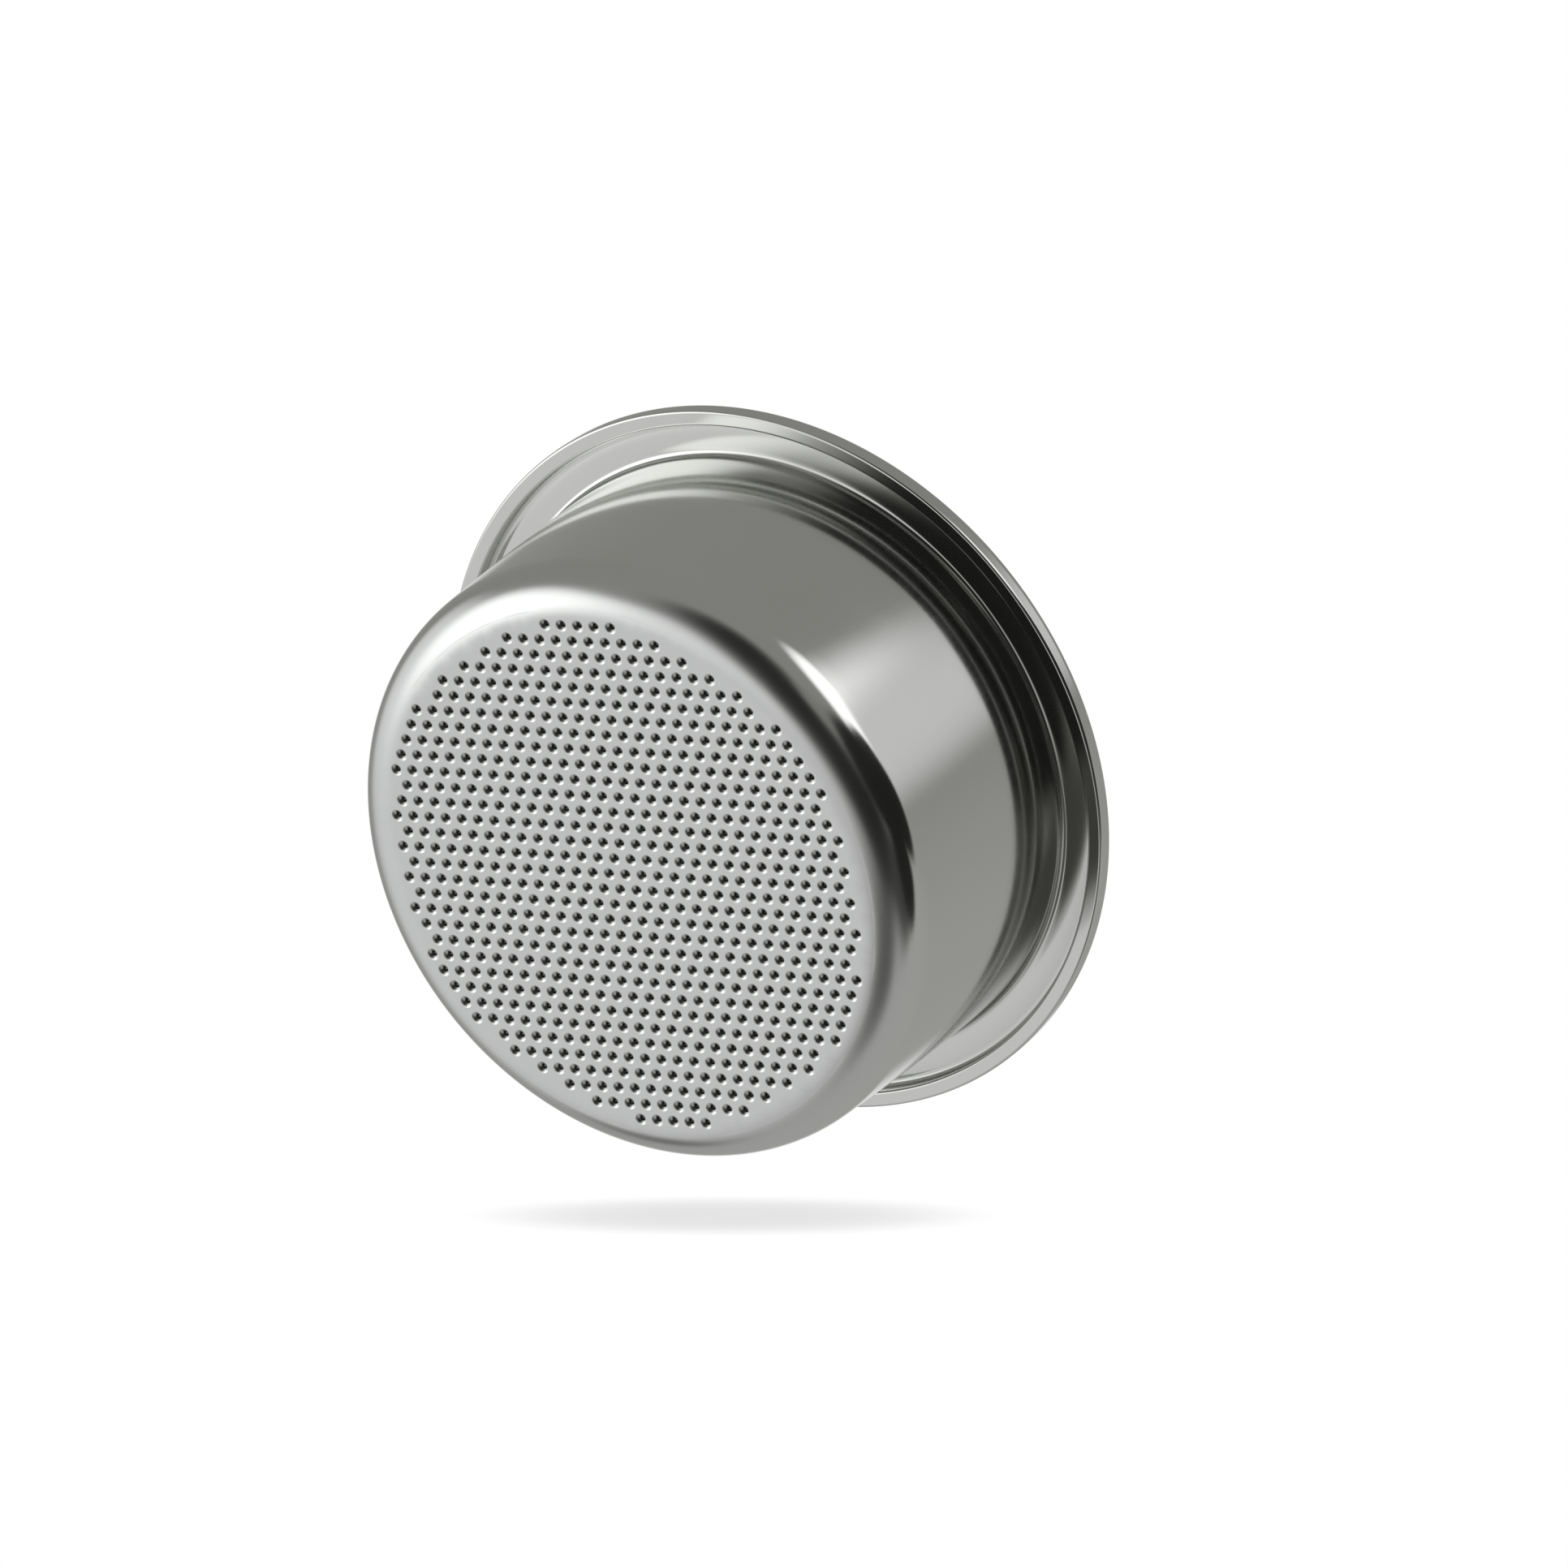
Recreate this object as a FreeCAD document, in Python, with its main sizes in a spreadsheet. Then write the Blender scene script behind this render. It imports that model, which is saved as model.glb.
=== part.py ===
# Espresso filter basket: a pressed steel cup with a turned-out rim and a
# bottom full of small conical pits, each open at its tip.
#
# Frame: +Z up along the cup's own axis, mouth up, origin at the centre of
# the face it stands on. Millimetres.

import FreeCAD, Part
import Sketcher
import math
import os

# Driving dimensions

SIZES = {
    # pressed cup
    "sheet": 0.8,            # thickness of the steel
    "height": 28.5,          # base to top of rim
    "mouth_radius": 29.3,    # inside, over the straight collar
    "collar_depth": 11.0,    # top of the rim to the end of the straight collar
    "wall_taper": 1.5,       # degrees that the wall leans below the collar
    "knee_radius": 4.6,      # outside, between bottom and wall
    # rim
    "rim_radius": 35.0,
    "neck_radius": 1.2,      # underside, between wall and flange
    "hem_width": 1.5,        # thick outer ring of the flange
    "hem_depth": 2.1,        # top of the rim to the underside of that ring
    "hem_shoulder": 0.9,     # rounding of the rim's upper outer edge
    "hem_edge": 0.25,        # rounding of the ring's two lower edges
    "hem_root": 0.4,         # inside corner between ring and flange
    # perforation
    "pit_pitch": 1.784,      # centre to centre, along each of three rows
    "pit_mouth": 0.55,       # radius at the outer face
    "pit_exit": 0.15,        # radius at the inner face
    "pit_margin": 0.07,      # outermost centres to the foot of the knee
    "pit_overrun": 0.2,      # reach of each cutter below the base
}


def make_sheet(doc):
    """The spreadsheet: one named cell for each driving dimension."""
    sheet = doc.addObject("Spreadsheet::Sheet", "Sizes")
    for row, (name, value) in enumerate(SIZES.items(), start=1):
        sheet.set(f"A{row}", name)
        sheet.set(f"B{row}", str(value))
        sheet.setAlias(f"B{row}", name)
    doc.recompute()
    return sheet


def point(x, y):
    return FreeCAD.Vector(x, y, 0)


def key_points(s):
    """Where the collar and the tapered wall end, and their bends' centres."""
    lean = math.radians(s.wall_taper)
    normal = point(math.cos(lean), -math.sin(lean))
    outside = s.mouth_radius + s.sheet
    collar_top = s.height - s.sheet - s.neck_radius
    collar_end = point(outside, s.height - s.collar_depth)
    foot_height = s.knee_radius * (1 + normal.y)
    drop = collar_end.y - foot_height
    wall_foot = point(outside - drop * math.tan(lean), foot_height)
    inner_step = s.sheet * math.tan(lean / 2)
    return {
        "normal": normal,
        "collar_top": point(outside, collar_top),
        "collar_end": collar_end,
        "collar_end_in": point(s.mouth_radius, collar_end.y - inner_step),
        "wall_foot": wall_foot,
        "neck": point(outside + s.neck_radius, collar_top),
        "knee": wall_foot - normal * s.knee_radius,
    }


class Section:
    """A closed half section in a sketch, drawn piece by piece."""

    START, END, CENTRE = 1, 2, 3
    ORIGIN = (-1, 1)

    def __init__(self, sketch):
        self.sketch = sketch
        self.index = {}

    def line(self, name, start, end):
        self.index[name] = self.sketch.addGeometry(Part.LineSegment(start, end), False)

    def arc(self, name, centre, radius, first, last):
        circle = Part.Circle(centre, FreeCAD.Vector(0, 0, 1), radius)
        arc = Part.ArcOfCircle(circle, math.radians(first), math.radians(last))
        self.index[name] = self.sketch.addGeometry(arc, False)

    def rule(self, kind, *args):
        """A constraint; a piece is named, and all else goes in as it is."""
        args = [self.index.get(a, a) if isinstance(a, str) else a for a in args]
        return self.sketch.addConstraint(Sketcher.Constraint(kind, *args))

    def size(self, name, expression, *args):
        """A constraint whose value is tied to the spreadsheet."""
        self.sketch.renameConstraint(self.rule(*args), name)
        self.sketch.setExpression(f"Constraints.{name}", expression)


def draw_cup(section, s):
    """Half section of the cup: out along the base, up, round the rim, back."""
    k = key_points(s)
    lean = s.wall_taper
    neck, knee = k["neck"], k["knee"]
    inside = point(s.sheet, 0)
    under = s.height - s.sheet
    low = s.height - s.hem_depth
    ring = s.rim_radius - s.hem_width
    root, edge, shoulder = s.hem_root, s.hem_edge, s.hem_shoulder

    section.line("base", point(0, 0), point(knee.x, 0))
    section.arc("knee_out", knee, s.knee_radius, -90, -lean)
    section.line("wall_out", k["wall_foot"], k["collar_end"])
    section.line("collar_out", k["collar_end"], k["collar_top"])
    section.arc("neck", neck, s.neck_radius, 90, 180)
    section.line("under", point(neck.x, under), point(ring - root, under))
    section.arc("root", point(ring - root, under - root), root, 0, 90)
    section.line("ring_in", point(ring, under - root), point(ring, low + edge))
    section.arc("edge_in", point(ring + edge, low + edge), edge, 180, 270)
    section.line("ring_low", point(ring + edge, low), point(s.rim_radius - edge, low))
    section.arc("edge_out", point(s.rim_radius - edge, low + edge), edge, 270, 360)
    section.line("ring_out", point(s.rim_radius, low + edge),
                 point(s.rim_radius, s.height - shoulder))
    section.arc("shoulder", point(s.rim_radius - shoulder, s.height - shoulder),
                shoulder, 0, 90)
    section.line("land", point(s.rim_radius - shoulder, s.height),
                 point(neck.x, s.height))
    section.arc("mouth", neck, s.neck_radius + s.sheet, 90, 180)
    section.line("collar_in", k["collar_top"] - inside, k["collar_end_in"])
    section.line("wall_in", k["collar_end_in"], k["wall_foot"] - k["normal"] * s.sheet)
    section.arc("knee_in", knee, s.knee_radius - s.sheet, -90, -lean)
    section.line("floor", point(knee.x, s.sheet), point(0, s.sheet))
    section.line("axis", point(0, s.sheet), point(0, 0))


def join_cup(section):
    """Closes the half section: smooth joints, two centres shared, square lines."""
    start, end, centre = Section.START, Section.END, Section.CENTRE
    smooth = (
        ("base", end, "knee_out", start),
        ("knee_out", end, "wall_out", start),
        ("collar_out", end, "neck", end),
        ("neck", start, "under", start),
        ("under", end, "root", end),
        ("root", start, "ring_in", start),
        ("ring_in", end, "edge_in", start),
        ("edge_in", end, "ring_low", start),
        ("ring_low", end, "edge_out", start),
        ("edge_out", end, "ring_out", start),
        ("ring_out", end, "shoulder", start),
        ("shoulder", end, "land", start),
        ("land", end, "mouth", start),
        ("mouth", end, "collar_in", start),
        ("wall_in", end, "knee_in", end),
        ("knee_in", start, "floor", start),
    )
    for joint in smooth:
        section.rule("Tangent", *joint)
    section.rule("Coincident", "wall_out", end, "collar_out", start)
    section.rule("Coincident", "collar_in", end, "wall_in", start)
    section.rule("Coincident", "floor", end, "axis", start)
    section.rule("Coincident", "axis", end, "base", start)
    section.rule("Coincident", "base", start, *Section.ORIGIN)
    section.rule("Coincident", "neck", centre, "mouth", centre)
    section.rule("Coincident", "knee_out", centre, "knee_in", centre)
    for name in ("base", "under", "ring_low", "land", "floor"):
        section.rule("Horizontal", name)
    for name in ("axis", "collar_out", "collar_in", "ring_in", "ring_out"):
        section.rule("Vertical", name)
    section.rule("Parallel", "wall_out", "wall_in")
    section.rule("Equal", "edge_in", "edge_out")


def size_cup(section, s):
    """Ties every size of the half section to its cell."""
    start, end = Section.START, Section.END
    origin = Section.ORIGIN
    size = section.size
    size("bottom", "Sizes.sheet", "DistanceY", "axis", end, "axis", start, s.sheet)
    size("flange", "Sizes.sheet", "DistanceY", "under", start, "land", end, s.sheet)
    size("height", "Sizes.height", "DistanceY", *origin, "land", start, s.height)
    size("mouth", "Sizes.mouth_radius", "DistanceX", *origin, "collar_in", start,
         s.mouth_radius)
    size("collar", "Sizes.collar_depth", "DistanceY", "collar_out", start,
         "land", start, s.collar_depth)
    size("taper", "90 deg - Sizes.wall_taper * 1 deg", "Angle", "wall_out",
         math.radians(90 - s.wall_taper))
    size("rim", "Sizes.rim_radius", "DistanceX", *origin, "ring_out", start,
         s.rim_radius)
    size("hem_width", "Sizes.hem_width", "DistanceX", "ring_in", start,
         "ring_out", end, s.hem_width)
    size("hem_depth", "Sizes.hem_depth", "DistanceY", "ring_low", start,
         "land", start, s.hem_depth)
    size("knee", "Sizes.knee_radius", "Radius", "knee_out", s.knee_radius)
    size("neck", "Sizes.neck_radius", "Radius", "neck", s.neck_radius)
    size("root", "Sizes.hem_root", "Radius", "root", s.hem_root)
    size("edge", "Sizes.hem_edge", "Radius", "edge_in", s.hem_edge)
    size("shoulder", "Sizes.hem_shoulder", "Radius", "shoulder", s.hem_shoulder)


def make_cup(doc, s):
    """The pressed cup before it is perforated, turned from its half section."""
    body = doc.addObject("PartDesign::Body", "Cup")
    body.Label = "cup_blank"
    plane = next(f for f in body.Origin.OriginFeatures if f.Role == "XZ_Plane")
    sketch = body.newObject("Sketcher::SketchObject", "CupSection")
    sketch.AttachmentSupport = [(plane, "")]
    sketch.MapMode = "FlatFace"
    section = Section(sketch)
    draw_cup(section, s)
    join_cup(section)
    size_cup(section, s)
    turned = body.newObject("PartDesign::Revolution", "CupTurned")
    turned.Profile = sketch
    turned.ReferenceAxis = (sketch, ["V_Axis"])
    turned.Angle = 360
    doc.recompute()
    if sketch.FullyConstrained is False:
        raise RuntimeError("the cup's section is not fully constrained")
    return body


# Perforation

def make_pit(doc):
    """One conical cutter, its point above the cup's floor."""
    pit = doc.addObject("Part::Cone", "Pit")
    pit.Label = "pit_cutter"
    slope = "((Sizes.pit_mouth - Sizes.pit_exit) / Sizes.sheet)"
    pit.setExpression("Radius1", f"Sizes.pit_mouth + Sizes.pit_overrun * {slope}")
    pit.Radius2 = 0
    pit.setExpression("Height", f"Sizes.pit_overrun + Sizes.pit_mouth / {slope}")
    pit.setExpression("Placement.Base.z", "-Sizes.pit_overrun")
    doc.recompute()
    return pit


def pit_centres(s):
    """Triangular rows inside a circle, less the end pit of each main row."""
    reach = key_points(s)["knee"].x - s.pit_margin
    count = int(reach / s.pit_pitch * 2 / math.sqrt(3)) + 1
    centres = []
    for i in range(-count, count + 1):
        for j in range(-count, count + 1):
            x = (i + j / 2) * s.pit_pitch
            y = j * s.pit_pitch * math.sqrt(3) / 2
            distance = math.hypot(x, y)
            main_row = i == 0 or j == 0 or i + j == 0
            if distance <= reach - (s.pit_pitch if main_row else 0):
                centres.append(FreeCAD.Vector(x, y, 0))
    return centres


def make_pits(doc, s):
    """All the cutters as one tool."""
    pit = make_pit(doc)
    pits = doc.addObject("Part::Feature", "Pits")
    pits.Label = "pit_cutters"
    pits.Shape = Part.makeCompound(
        [pit.Shape.translated(centre) for centre in pit_centres(s)]
    )
    return pits


# Assembly of the document

def check(doc, part):
    """Stops the build if anything in the document failed."""
    for item in doc.Objects:
        if {"Invalid", "Error"} & set(item.State):
            raise RuntimeError(f"{item.Name}: {item.State}")
    shape = part.Shape
    if shape.isNull() or not shape.isValid() or len(shape.Solids) != 1:
        raise RuntimeError(f"{part.Label}: not one valid solid")


def main():
    doc = FreeCAD.newDocument("FilterBasket")
    sizes = make_sheet(doc)
    cup = make_cup(doc, sizes)
    pits = make_pits(doc, sizes)
    basket = doc.addObject("Part::Cut", "FilterBasket")
    basket.Label = "filter_basket"
    basket.Base = cup
    basket.Tool = pits
    doc.recompute()
    check(doc, basket)

    os.makedirs("parts", exist_ok=True)
    basket.Shape.exportStep(f"parts/{basket.Label}.step")
    print(f"pits: {len(pits.Shape.Solids)}, faces: {len(basket.Shape.Faces)}, "
          f"volume: {basket.Shape.Volume:.1f} mm3")


main()
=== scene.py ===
# Espresso filter basket: the looks, the camera and the studio light for the
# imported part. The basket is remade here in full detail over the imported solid:
# the turned cup and, in its bottom, every conical pit with its rounded lip.

import math

import bmesh
import bpy
from mathutils import Matrix, Vector


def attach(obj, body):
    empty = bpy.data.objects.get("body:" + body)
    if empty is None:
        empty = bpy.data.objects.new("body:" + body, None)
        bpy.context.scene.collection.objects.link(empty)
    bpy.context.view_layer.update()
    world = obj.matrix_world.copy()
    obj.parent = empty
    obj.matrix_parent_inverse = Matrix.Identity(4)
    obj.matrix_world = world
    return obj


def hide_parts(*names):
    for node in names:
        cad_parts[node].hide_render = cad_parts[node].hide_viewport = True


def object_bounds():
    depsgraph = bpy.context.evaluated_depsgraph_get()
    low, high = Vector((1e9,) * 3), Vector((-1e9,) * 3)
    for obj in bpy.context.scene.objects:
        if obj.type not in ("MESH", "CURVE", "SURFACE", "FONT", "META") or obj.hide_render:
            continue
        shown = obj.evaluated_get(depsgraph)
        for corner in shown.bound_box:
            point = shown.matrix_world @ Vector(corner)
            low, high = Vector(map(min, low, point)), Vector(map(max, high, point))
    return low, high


MM = 0.001

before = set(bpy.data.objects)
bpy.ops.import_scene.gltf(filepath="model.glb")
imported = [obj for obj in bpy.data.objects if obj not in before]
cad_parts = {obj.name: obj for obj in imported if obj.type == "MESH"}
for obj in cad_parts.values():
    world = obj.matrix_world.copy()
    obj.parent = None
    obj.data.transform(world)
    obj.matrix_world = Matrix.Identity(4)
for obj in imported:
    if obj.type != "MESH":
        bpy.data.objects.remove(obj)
cad_low, cad_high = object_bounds()

# Sizes of the basket, in millimetres, as in the solid
HEIGHT = (cad_high.z - cad_low.z) / MM
RIM_RADIUS = (cad_high.x - cad_low.x) / MM / 2
SHEET = 0.8
MOUTH_RADIUS = 29.3
COLLAR_DEPTH = 11.0
WALL_TAPER = math.radians(1.5)
KNEE_RADIUS = 4.6
NECK_RADIUS = 1.2                # from the mouth to the rim's top
HEM_WIDTH = 1.5
HEM_DEPTH = 2.1
HEM_SHOULDER = 0.9
HEM_EDGE = 0.25
HEM_ROOT = 0.4
PIT_PITCH = 1.784
PIT_MOUTH = 0.55
PIT_EXIT = 0.15
PIT_MARGIN = 0.07

# Finer forms, which the solid leaves out
UNDER_NECK = 0.6                 # a tighter corner under the rim
RIM_LIFT = 0.2                   # by which the rim's underside rises outward
WALL_UPRIGHT = 22.0              # height where the wall has stopped leaning
PIT_LIP = ((0.08, 0.0), (-0.08, 0.06), (-0.29, 0.28))   # past the mouth, and deep

# Fineness of the mesh
TURNS = 240
PIT_SIDES = 18                   # a multiple of 6, for the cells' corners
SPUN_FROM = 26.3                 # the bottom is filled by cells inside this radius
FLAT_EASE = 0.06                 # how near a line's ends its inner points are
WALL_EASE = 0.8
WELD = 0.002
ON_SKIN = 0.001


# Where the cup's section lies

OUTSIDE = MOUTH_RADIUS + SHEET
COLLAR_END = HEIGHT - COLLAR_DEPTH
FOOT_HEIGHT = KNEE_RADIUS * (1 - math.sin(WALL_TAPER))
FOOT_RADIUS = OUTSIDE - (COLLAR_END - FOOT_HEIGHT) * math.tan(WALL_TAPER)
FLAT_RADIUS = FOOT_RADIUS - KNEE_RADIUS * math.cos(WALL_TAPER)
INNER_KNEE = KNEE_RADIUS - SHEET


def skin_height(radius, bend):
    """Height of the bottom's skin at a radius: flat, then up the knee."""
    past = max(0.0, radius - FLAT_RADIUS)
    return KNEE_RADIUS - math.sqrt(bend * bend - past * past)


def skin_slope(radius, bend):
    """Angle by which that skin has turned up there."""
    return math.asin(max(0.0, radius - FLAT_RADIUS) / bend)


class Outline:
    """Points of a section, as (radius, height), along lines and arcs."""

    def __init__(self):
        self.points = []

    def arc(self, centre, radius, first, last, steps):
        """An arc through steps + 1 points, angles in degrees."""
        for k in range(steps + 1):
            angle = math.radians(first + (last - first) * k / steps)
            self.points.append((centre[0] + radius * math.cos(angle),
                                centre[1] + radius * math.sin(angle)))

    def line(self, start, end, inset=FLAT_EASE):
        """Inner points near both ends, which keep the line's shading flat."""
        length = math.dist(start, end)
        for share in (inset / length, 0.5, 1 - inset / length):
            self.points.append(tuple(a + (b - a) * share for a, b in zip(start, end)))

    def flare(self, start, end, steps):
        """A wall that leans out ever less, and is upright at its end."""
        for k in range(1, steps + 1):
            left = 1 - k / steps
            self.points.append((end[0] + (start[0] - end[0]) * left * left,
                                end[1] + (start[1] - end[1]) * left))

    def lift(self, start, end, steps):
        """A shelf that is level at its start and rises ever more."""
        for k in range(1, steps + 1):
            share = k / steps
            self.points.append((start[0] + (end[0] - start[0]) * share,
                                start[1] + (end[1] - start[1]) * share * share))


def cup_outline():
    """The section from the bottom's outer skin, up and round, to its inner skin."""
    lean = math.degrees(WALL_TAPER)
    knee = (FLAT_RADIUS, KNEE_RADIUS)
    neck = (OUTSIDE + NECK_RADIUS, HEIGHT - SHEET - NECK_RADIUS)
    low = HEIGHT - HEM_DEPTH
    under = HEIGHT - SHEET
    ring = RIM_RADIUS - HEM_WIDTH
    step = SHEET * math.tan(WALL_TAPER / 2)

    path = Outline()
    start = math.degrees(skin_slope(SPUN_FROM, KNEE_RADIUS)) - 90
    path.arc(knee, KNEE_RADIUS, start, -lean, 20)
    foot = path.points[-1]
    path.flare(foot, (OUTSIDE, WALL_UPRIGHT), 12)
    path.line((OUTSIDE, WALL_UPRIGHT), (OUTSIDE, under - UNDER_NECK), inset=WALL_EASE)
    path.arc((OUTSIDE + UNDER_NECK, under - UNDER_NECK), UNDER_NECK, 180, 90, 8)
    path.lift((OUTSIDE + UNDER_NECK, under), (ring - HEM_ROOT, under + RIM_LIFT), 8)
    path.arc((ring - HEM_ROOT, under + RIM_LIFT - HEM_ROOT), HEM_ROOT, 90, 0, 5)
    path.line((ring, under + RIM_LIFT - HEM_ROOT), (ring, low + HEM_EDGE))
    path.arc((ring + HEM_EDGE, low + HEM_EDGE), HEM_EDGE, 180, 270, 4)
    path.line((ring + HEM_EDGE, low), (RIM_RADIUS - HEM_EDGE, low))
    path.arc((RIM_RADIUS - HEM_EDGE, low + HEM_EDGE), HEM_EDGE, -90, 0, 4)
    path.line((RIM_RADIUS, low + HEM_EDGE), (RIM_RADIUS, HEIGHT - HEM_SHOULDER))
    path.arc((RIM_RADIUS - HEM_SHOULDER, HEIGHT - HEM_SHOULDER), HEM_SHOULDER, 0, 90, 8)
    path.line((RIM_RADIUS - HEM_SHOULDER, HEIGHT), (neck[0], HEIGHT))
    path.arc(neck, NECK_RADIUS + SHEET, 90, 180, 10)
    path.line((MOUTH_RADIUS, neck[1]), (MOUTH_RADIUS, COLLAR_END - step), inset=WALL_EASE)
    foot_in = (FLAT_RADIUS + INNER_KNEE * math.cos(WALL_TAPER),
               KNEE_RADIUS - INNER_KNEE * math.sin(WALL_TAPER))
    path.line((MOUTH_RADIUS, COLLAR_END - step), foot_in, inset=WALL_EASE)
    end = math.degrees(skin_slope(SPUN_FROM, INNER_KNEE)) - 90
    path.arc(knee, INNER_KNEE, -lean, end, 16)
    return path.points


# Making the basket

def only(thing):
    """Selects one object alone and makes it the active one."""
    bpy.ops.object.select_all(action="DESELECT")
    thing.select_set(True)
    bpy.context.view_layer.objects.active = thing


def turned_cup():
    """The cup without the middle of its bottom, spun from its section."""
    points = [Vector((r, 0, z)) * MM for r, z in cup_outline()]
    mesh = bpy.data.meshes.new("cup")
    mesh.from_pydata(points, [(k, k + 1) for k in range(len(points) - 1)], [])
    cup = bpy.data.objects.new("cup", mesh)
    bpy.context.scene.collection.objects.link(cup)
    only(cup)
    bpy.ops.object.mode_set(mode="EDIT")
    bpy.ops.mesh.select_all(action="SELECT")
    bpy.ops.mesh.spin(steps=TURNS, angle=math.tau, center=(0, 0, 0), axis=(0, 0, 1))
    bpy.ops.mesh.select_all(action="SELECT")
    bpy.ops.mesh.remove_doubles(threshold=WELD / 4 * MM)
    bpy.ops.object.mode_set(mode="OBJECT")
    return cup


def pit_centres():
    """Triangular rows inside a circle, less the end pit of each main row."""
    reach = FLAT_RADIUS - PIT_MARGIN
    count = int(reach / PIT_PITCH * 2 / math.sqrt(3)) + 1
    for i in range(-count, count + 1):
        for j in range(-count, count + 1):
            x = (i + j / 2) * PIT_PITCH
            y = j * PIT_PITCH * math.sqrt(3) / 2
            main_row = i == 0 or j == 0 or i + j == 0
            if math.hypot(x, y) <= reach - (PIT_PITCH if main_row else 0):
                yield x, y


def cell_radius(angle):
    """Distance from a pit's centre to the side of its six-sided cell."""
    sixth = math.tau / 6
    off = (angle + sixth / 2) % sixth - sixth / 2
    return PIT_PITCH / 2 / math.cos(off)


def pit_rings():
    """A pit's rings, from the outer skin to the inner: radius and depth."""
    return (
        (None, 0.0),
        *((PIT_MOUTH + past, depth) for past, depth in PIT_LIP),
        (PIT_EXIT, SHEET),
        (None, SHEET),
    )


def add_pit(cells, x, y):
    """One pit in its cell, from ring to ring through the sheet."""
    loops = []
    for radius, depth in pit_rings():
        loop = []
        for k in range(PIT_SIDES):
            angle = math.tau * (k + 0.5) / PIT_SIDES
            out = cell_radius(angle) if radius is None else radius
            px, py = x + out * math.cos(angle), y + out * math.sin(angle)
            away = math.hypot(px, py)
            outer = skin_height(away, KNEE_RADIUS)
            inner = skin_height(away, INNER_KNEE)
            height = outer + (inner - outer) * depth / SHEET
            loop.append(cells.verts.new(Vector((px, py, height)) * MM))
        loops.append(loop)
    for one, other in zip(loops, loops[1:]):
        for k in range(PIT_SIDES):
            after = (k + 1) % PIT_SIDES
            cells.faces.new((one[k], other[k], other[after], one[after]))
    for k in range(PIT_SIDES):
        for loop in loops[-3:-1]:
            cells.edges.get((loop[k], loop[k - 1])).smooth = False


def fill_skin(cells, bend, upward):
    """Closes the skin between the outermost cells and the spun cup."""
    edges = [e for e in cells.edges
             if e.is_boundary and all(on_skin(v.co / MM, bend) for v in e.verts)]
    circle = bmesh.ops.create_circle(cells, cap_ends=False, radius=SPUN_FROM * MM,
                                     segments=TURNS)["verts"]
    height = skin_height(SPUN_FROM, bend) * MM
    for v in circle:
        v.co.z = height
    edges += list({e for v in circle for e in v.link_edges})
    bmesh.ops.triangle_fill(cells, use_beauty=True, use_dissolve=False, edges=edges,
                            normal=(0, 0, 1 if upward else -1))


def on_skin(point, bend):
    """Whether a point in millimetres lies on that skin of the bottom."""
    radius = math.hypot(point.x, point.y)
    inside = radius < SPUN_FROM + 10 * ON_SKIN
    return inside and abs(point.z - skin_height(radius, bend)) < ON_SKIN


def perforated_bottom():
    """All the pits in their cells, with a closed margin round them."""
    cells = bmesh.new()
    for x, y in pit_centres():
        add_pit(cells, x, y)
    bmesh.ops.remove_doubles(cells, verts=cells.verts, dist=WELD * MM)
    fill_skin(cells, KNEE_RADIUS, upward=False)
    fill_skin(cells, INNER_KNEE, upward=True)
    mesh = bpy.data.meshes.new("bottom")
    cells.to_mesh(mesh)
    cells.free()
    bottom = bpy.data.objects.new("bottom", mesh)
    bpy.context.scene.collection.objects.link(bottom)
    return bottom


def join_basket():
    """The whole basket as one closed mesh with its normals out."""
    cup, bottom = turned_cup(), perforated_bottom()
    only(cup)
    bottom.select_set(True)
    bpy.ops.object.join()
    cup.name = cup.data.name = "basket"
    bpy.ops.object.mode_set(mode="EDIT")
    bpy.ops.mesh.select_all(action="SELECT")
    bpy.ops.mesh.remove_doubles(threshold=WELD * MM)
    bpy.ops.mesh.normals_make_consistent(inside=False)
    bpy.ops.object.mode_set(mode="OBJECT")
    bpy.ops.object.shade_smooth()
    return cup


def set_skin_normals(mesh):
    """True normals on the bottom's skins, whatever way their faces run."""
    normals = [Vector((0, 0, 0))] * len(mesh.loops)
    for face in mesh.polygons:
        corners = [mesh.vertices[v].co / MM for v in face.vertices]
        for bend, side in ((KNEE_RADIUS, 1), (INNER_KNEE, -1)):
            if all(on_skin(corner, bend) for corner in corners):
                for loop, corner in zip(face.loop_indices, corners):
                    radius = math.hypot(corner.x, corner.y)
                    turn = skin_slope(radius, bend)
                    away = math.sin(turn) / max(radius, 1e-6)
                    normals[loop] = side * Vector(
                        (corner.x * away, corner.y * away, -math.cos(turn)))
    mesh.normals_split_custom_set(normals)


# Shader nodes written as sums

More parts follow.
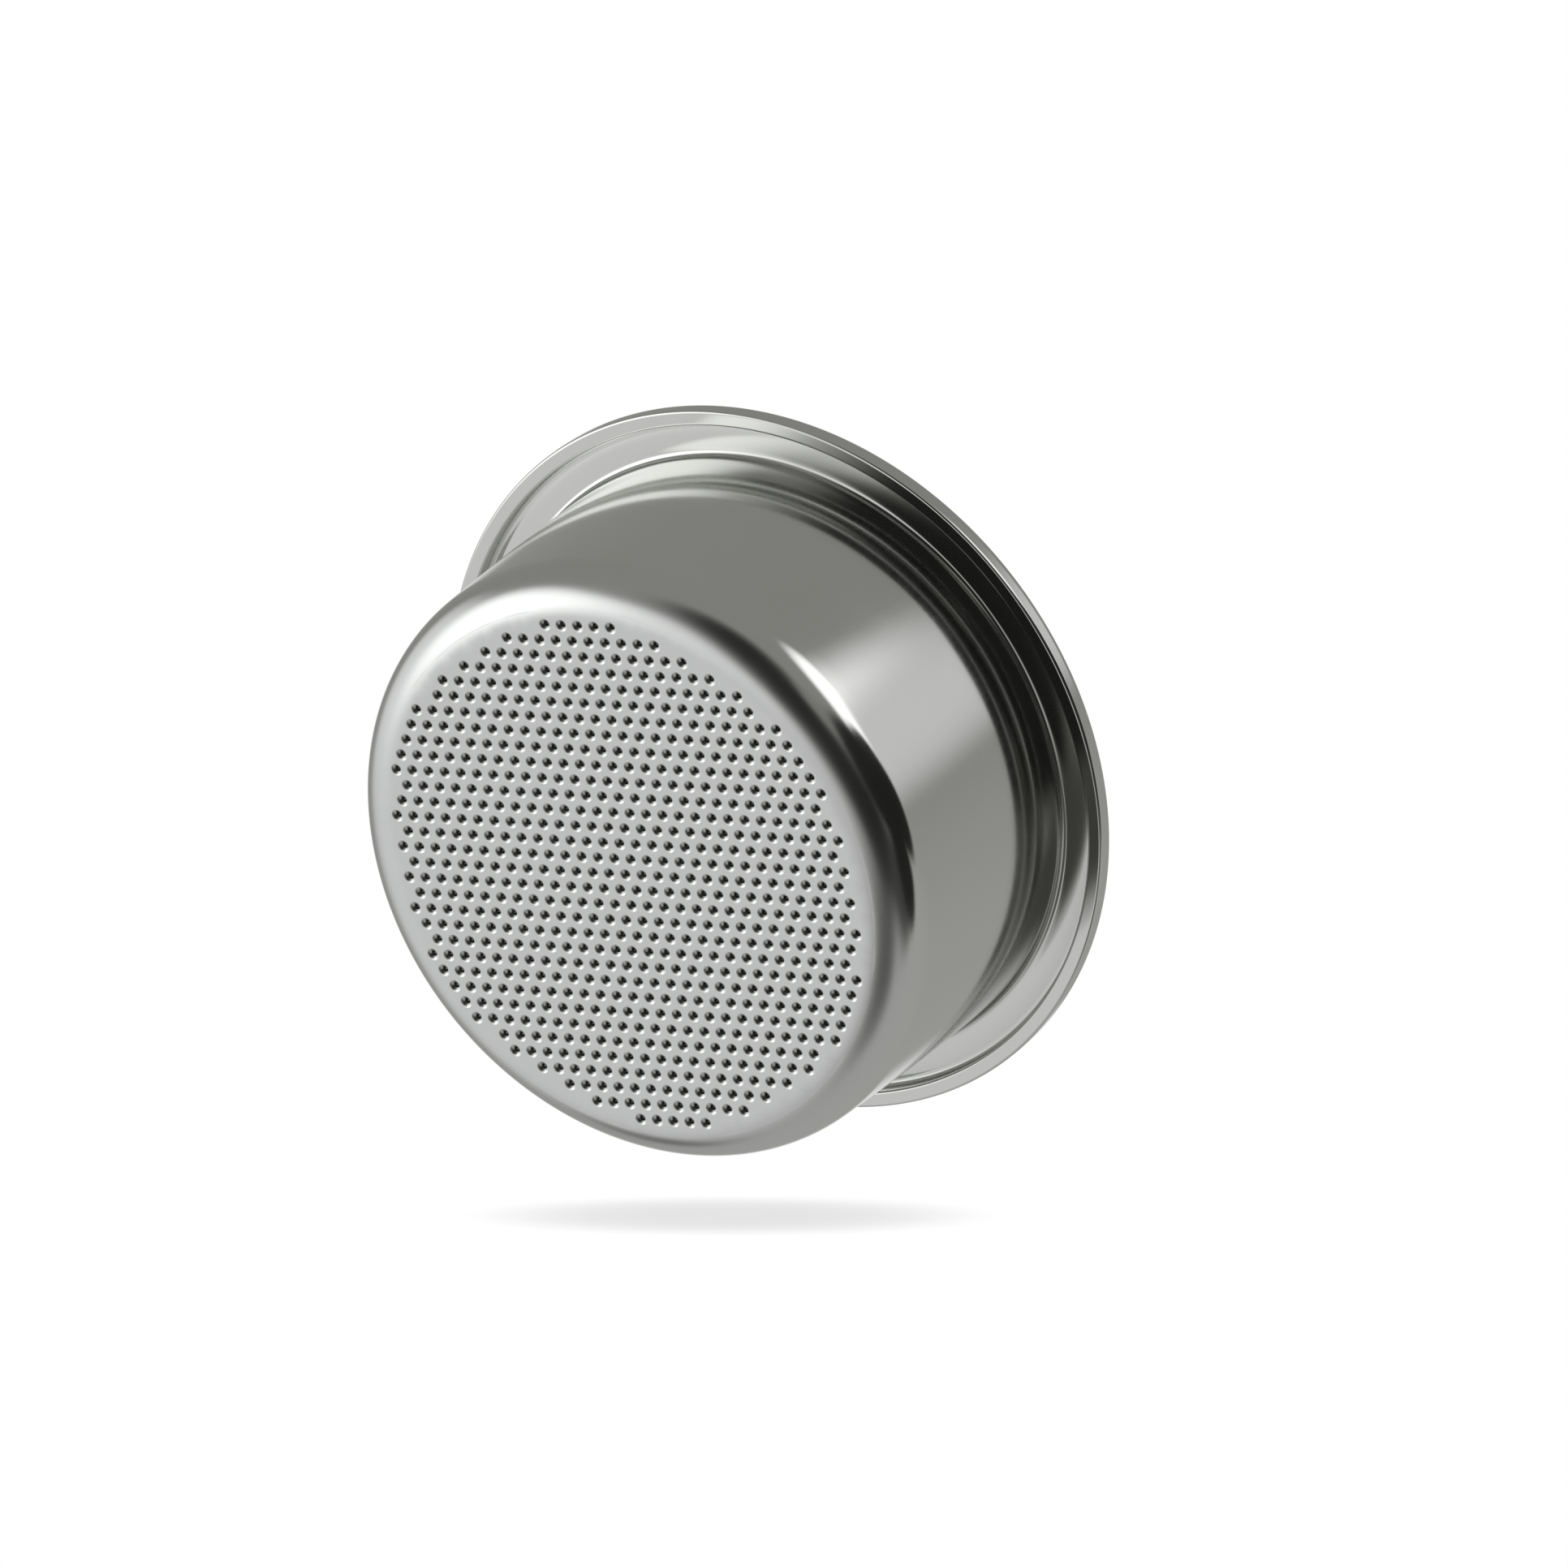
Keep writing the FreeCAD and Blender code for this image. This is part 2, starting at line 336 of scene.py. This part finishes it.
class Socket:
    """An output socket that can be added, multiplied and so on."""

    tree = None

    def __init__(self, out):
        self.out = out

    @classmethod
    def node(cls, kind, inputs=None, output=0, **settings):
        """Any node: its settings, its inputs by name or number, one output."""
        made = cls.tree.nodes.new(kind)
        for name, value in settings.items():
            setattr(made, name, value)
        for key, value in (inputs or {}).items():
            if isinstance(value, Socket):
                cls.tree.links.new(value.out, made.inputs[key])
            else:
                made.inputs[key].default_value = value
        return cls(made.outputs[output])

    def maths(self, operation, *others):
        values = dict(enumerate((self, *others)))
        return Socket.node("ShaderNodeMath", values, operation=operation)

    def __add__(self, other):
        return self.maths("ADD", other)

    def __sub__(self, other):
        return self.maths("SUBTRACT", other)

    def __mul__(self, other):
        return self.maths("MULTIPLY", other)

    def __truediv__(self, other):
        return self.maths("DIVIDE", other)

    def __rsub__(self, other):
        return Socket.node("ShaderNodeMath", {0: other, 1: self}, operation="SUBTRACT")

    __radd__ = __add__
    __rmul__ = __mul__

    def dot(self, vector):
        return Socket.node("ShaderNodeVectorMath", {0: self, 1: vector}, output="Value",
                           operation="DOT_PRODUCT")

    def vector(self, operation, **inputs):
        values = {0: self, **{name.capitalize(): v for name, v in inputs.items()}}
        return Socket.node("ShaderNodeVectorMath", values, operation=operation)

    def ramp(self, start, end, low=0.0, high=1.0):
        """A soft step from low to high between start and end."""
        return Socket.node("ShaderNodeMapRange", {
            "Value": self, "From Min": start, "From Max": end,
            "To Min": low, "To Max": high}, interpolation_type="SMOOTHSTEP")

    def mix(self, other, share):
        """This value where share is 0, the other where it is 1."""
        return self + (other - self) * share

    def into(self, node, name):
        Socket.tree.links.new(self.out, node.inputs[name])


# Camera

TILT = math.radians(40.2699)     # between the basket's axis and the line of sight
TURN = math.radians(-3.5333)     # of the camera round the basket's axis
ROLL = math.radians(52.3323)     # of the camera round its line of sight
DISTANCE = 2.3
AIM = (0.014487, 0.0083244)      # from the base's centre, to the right and up
LENS = 576.98


def camera_axes():
    """Unit vectors to the picture's right, its top and the camera."""
    back = Vector((math.sin(TURN) * math.sin(TILT), -math.cos(TURN) * math.sin(TILT),
                   -math.cos(TILT)))
    level = Vector((math.cos(TURN), math.sin(TURN), 0))
    upright = back.cross(level)
    right = math.cos(ROLL) * level + math.sin(ROLL) * upright
    return right, back.cross(right), back


RIGHT, UP, BACK = camera_axes()


def make_camera():
    data = bpy.data.cameras.new("camera")
    data.lens = LENS
    data.clip_start, data.clip_end = 0.1, 10.0
    camera = bpy.data.objects.new("camera", data)
    bpy.context.scene.collection.objects.link(camera)
    place = RIGHT * AIM[0] + UP * AIM[1] + BACK * DISTANCE
    axes = Matrix((RIGHT, UP, BACK)).transposed().to_4x4()
    camera.matrix_world = Matrix.Translation(place) @ axes
    bpy.context.scene.camera = camera


# Studio light, placed by directions as seen from the camera: degrees from the
# line of sight, and degrees round it from the picture's right.

def toward(off, around):
    a, b = math.radians(off), math.radians(around)
    return BACK * math.cos(a) + (RIGHT * math.cos(b) + UP * math.sin(b)) * math.sin(a)


def lobe(direction, off, around, inner, outer):
    """One where the direction is within inner degrees of an axis, 0 past outer."""
    cosine = direction.dot(toward(off, around))
    return cosine.ramp(math.cos(math.radians(outer)), math.cos(math.radians(inner)))


# What the steel mirrors, each laid over those before it. All in degrees: off,
# around, full inside, gone outside; and last how bright it is.
LIGHTS = (
    (92, -158, 10, 52, 0.85),      # pale wall on the left
    (52, -148, 8, 26, 0.72),
    (58, -172, 8, 28, 1.0),
    (116, 172, 8, 26, 0.95),
    (176, -95, 3, 20, 0.8),        # backdrop
    (82, 177, 8, 30, 1.9),         # left light
    (77, 39, 13, 25, 1.75),        # right light
    (95, 25, 4, 18, 0.82),
    (60, -97, 8, 25, 0.1),         # the dark room around the camera
    (5, 180, 14, 38, 0.02),
    (28, 120, 10, 30, 0.02),
    (28, -60, 14, 32, 0.02),
    (54, -42, 10, 22, 0.06),
    (26, 45, 3, 14, 0.3),
    (45, 8, 17, 24, 0.02),         # a dark screen beside it
    (66, 10, 17, 22, 0.02),
    (77, 5, 12, 18, 0.02),
    (62, -22, 12, 19, 0.02),
    (68, -31, 6, 13, 0.02),
    (116, -120, 3, 12, 0.12),      # a small dark thing on the left
)
ROOM = (90, -70)                   # where the room is lightest
ROOM_LEVELS = (0.33, 0.5)
DIM_COLOR = (1.0, 1.0, 0.94, 1)    # the tint of its dim parts
SHADE = (-0.00213, -0.01718, 0.0088, 0.00068, 0.22)   # right, up, width, height, depth


def floor_shade(direction):
    """White, with a faint flat shadow low in the picture, as if on a far floor."""
    right, up, width, height, depth = SHADE
    across = (direction.dot(RIGHT) - right) / width
    along = (direction.dot(UP) - up) / height
    return (across * across + along * along).ramp(0.0, 1.6, 1.0 - depth, 1.0)


def make_world():
    world = bpy.data.worlds.new("studio")
    world.use_nodes = True
    bpy.context.scene.world = world
    tree = Socket.tree = world.node_tree
    tree.nodes.clear()
    direction = Socket.node("ShaderNodeTexCoord", output="Generated")

    light = direction.dot(toward(*ROOM)).ramp(-0.2, 0.9, *ROOM_LEVELS)
    for off, around, inner, outer, level in LIGHTS:
        light = light.mix(level, lobe(direction, off, around, inner, outer))
    seen = Socket.node("ShaderNodeLightPath", output="Is Camera Ray")
    color = Socket.node("ShaderNodeMix", {
        "Factor": light.ramp(0.2, 0.7).mix(1.0, seen), "A": DIM_COLOR, "B": (1, 1, 1, 1)},
        output=2, data_type="RGBA")
    shade = Socket.node("ShaderNodeBackground", {
        "Color": color, "Strength": light.mix(floor_shade(direction), seen)})
    shade.into(tree.nodes.new("ShaderNodeOutputWorld"), "Surface")


# Steel

STEEL_COLOR = (0.62, 0.63, 0.625, 1)
PRESSED_COLOR = (0.60, 0.605, 0.585, 1)
PIT_SHADE_COLOR = (0.33, 0.33, 0.33, 1)   # painted shade inside the pits
SATIN = 0.26                     # roughness of the perforated bottom
PRESSED = 0.11                   # and of the drawn wall
CLOUDS_PER_MM = 0.12
GRAIN_PER_MM = 5.0
STREAKS = 230.0                  # across a radian round the wall
STREAKS_PER_MM = 0.35            # and up it
RINGS_PER_MM = 9.0
BUMP_DEPTH = 0.0035 * MM
BOTTOM_FADE = (0.5, 3.0)         # heights between which the bottom's finish ends
RIM_FADE = (HEIGHT - 3.4, HEIGHT - 2.4)
PIT_SHADE_IN = (0.2, 0.45)        # heights between which the painted shade on a pit's side sets in
PIT_SHADE_OUT = (SHEET - 0.04, SHEET - 0.01)   # and plain steel again, at its tip
PIT_SHADE_ROUND = (FLAT_RADIUS, FLAT_RADIUS + 0.3)   # radii where the pits' painted shade ends
CLOUDS_SWAY = 0.08               # by which each pattern sways the roughness
GRAIN_SWAY = 0.02
STREAKS_SWAY = 0.06
GRAIN_RELIEF = 0.04              # and shares of the bump's depth
BOTTOM_RELIEF = 0.14
STREAKS_RELIEF = 0.1
RINGS_RELIEF = 0.08


class Place:
    """Where the shaded point is, in millimetres, as sockets."""

    def __init__(self):
        coordinates = Socket.node("ShaderNodeTexCoord", output="Object")
        self.place = coordinates.vector("SCALE", scale=1 / MM)
        self.x, self.y, self.z = (
            Socket.node("ShaderNodeSeparateXYZ", {0: self.place}, output=axis)
            for axis in "XYZ")
        self.radius = (self.x * self.x + self.y * self.y).maths("SQRT")

    def noise(self, x, y, z, detail=2.0):
        at = Socket.node("ShaderNodeCombineXYZ", {0: x, 1: y, 2: z})
        return Socket.node("ShaderNodeTexNoise", {
            "Vector": at, "Scale": 1.0, "Detail": detail}, output="Fac")

    def grain(self, per_mm, detail=2.0):
        return self.noise(self.x * per_mm, self.y * per_mm, self.z * per_mm, detail)

    def round_the_wall(self, across, along, detail=2.0):
        """Streaks that run up the wall, many to a radian."""
        return self.noise(self.x / self.radius * across, self.y / self.radius * across,
                          self.z * along, detail)

    def rings(self, per_mm, detail=2.0):
        """Turning marks that run round the axis."""
        return self.noise(self.radius * per_mm, self.z * per_mm,
                          self.x / self.radius * 1.5, detail)


def steel():
    """Drawn stainless steel: grain on the bottom, streaks up the wall, rings on the rim."""
    material = bpy.data.materials.new("steel")
    material.use_nodes = True
    tree = Socket.tree = material.node_tree
    shader = tree.nodes["Principled BSDF"]
    shader.inputs["Metallic"].default_value = 1.0

    at = Place()
    bottom = at.z.ramp(*BOTTOM_FADE, 1.0, 0.0)
    rim = at.z.ramp(*RIM_FADE)
    wall = (1.0 - bottom) * (1.0 - rim)
    clouds = at.grain(CLOUDS_PER_MM, detail=3.0)
    grain = at.grain(GRAIN_PER_MM)
    streaks = at.round_the_wall(STREAKS, STREAKS_PER_MM)
    rings = at.rings(RINGS_PER_MM)

    roughness = PRESSED + (SATIN - PRESSED) * bottom + (clouds - 0.5) * CLOUDS_SWAY \
        + (grain - 0.5) * GRAIN_SWAY + (streaks - 0.5) * wall * STREAKS_SWAY
    roughness.into(shader, "Roughness")
    color = Socket.node("ShaderNodeMix", {
        "Factor": bottom * 0.7 + (clouds - 0.5) * 0.6 + 0.15,
        "A": PRESSED_COLOR, "B": STEEL_COLOR}, output=2, data_type="RGBA")
    # Painted shade down each pit's side, darker with depth, where the pits lie in shadow
    pit_shade = at.z.ramp(*PIT_SHADE_IN) * at.z.ramp(*PIT_SHADE_OUT, 1.0, 0.0)
    color = Socket.node("ShaderNodeMix", {
        "Factor": pit_shade * at.radius.ramp(*PIT_SHADE_ROUND, 1.0, 0.0),
        "A": color, "B": PIT_SHADE_COLOR}, output=2, data_type="RGBA")
    color.into(shader, "Base Color")
    height = grain * (bottom * BOTTOM_RELIEF + GRAIN_RELIEF) \
        + streaks * wall * STREAKS_RELIEF + rings * rim * RINGS_RELIEF
    bump = Socket.node("ShaderNodeBump", {
        "Height": height, "Strength": 1.0, "Distance": BUMP_DEPTH}, output="Normal")
    bump.into(shader, "Normal")
    return material


# Floor: seen from above only, and out of the steel's reflections

FLOOR_SIZE = 3.0
FLOOR_GAP = 0.0002
FLOOR_COLOR = (0.9, 0.9, 0.9, 1)


def make_floor():
    bpy.ops.object.select_all(action="DESELECT")
    bpy.ops.mesh.primitive_plane_add(size=FLOOR_SIZE, location=(0, 0, -FLOOR_GAP))
    floor = bpy.context.active_object
    floor.name = "floor"
    for way in ("diffuse", "glossy", "transmission", "shadow", "volume_scatter"):
        setattr(floor, f"visible_{way}", False)
    material = bpy.data.materials.new("floor")
    material.use_nodes = True
    tree = Socket.tree = material.node_tree
    shader = tree.nodes["Principled BSDF"]
    shader.inputs["Base Color"].default_value = FLOOR_COLOR
    shader.inputs["Roughness"].default_value = 0.9
    under = Socket.node("ShaderNodeNewGeometry", output="Backfacing")
    clear = Socket.node("ShaderNodeBsdfTransparent")
    both = Socket.node("ShaderNodeMixShader", {
        0: under, 1: Socket(shader.outputs["BSDF"]), 2: clear})
    both.into(tree.nodes["Material Output"], "Surface")
    floor.data.materials.append(material)


basket = join_basket()
set_skin_normals(basket.data)
basket.data.materials.clear()
basket.data.materials.append(steel())
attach(basket, "root")
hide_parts("filter_basket")

make_floor()
make_world()
make_camera()

scene = bpy.context.scene
scene.view_settings.view_transform = "Standard"
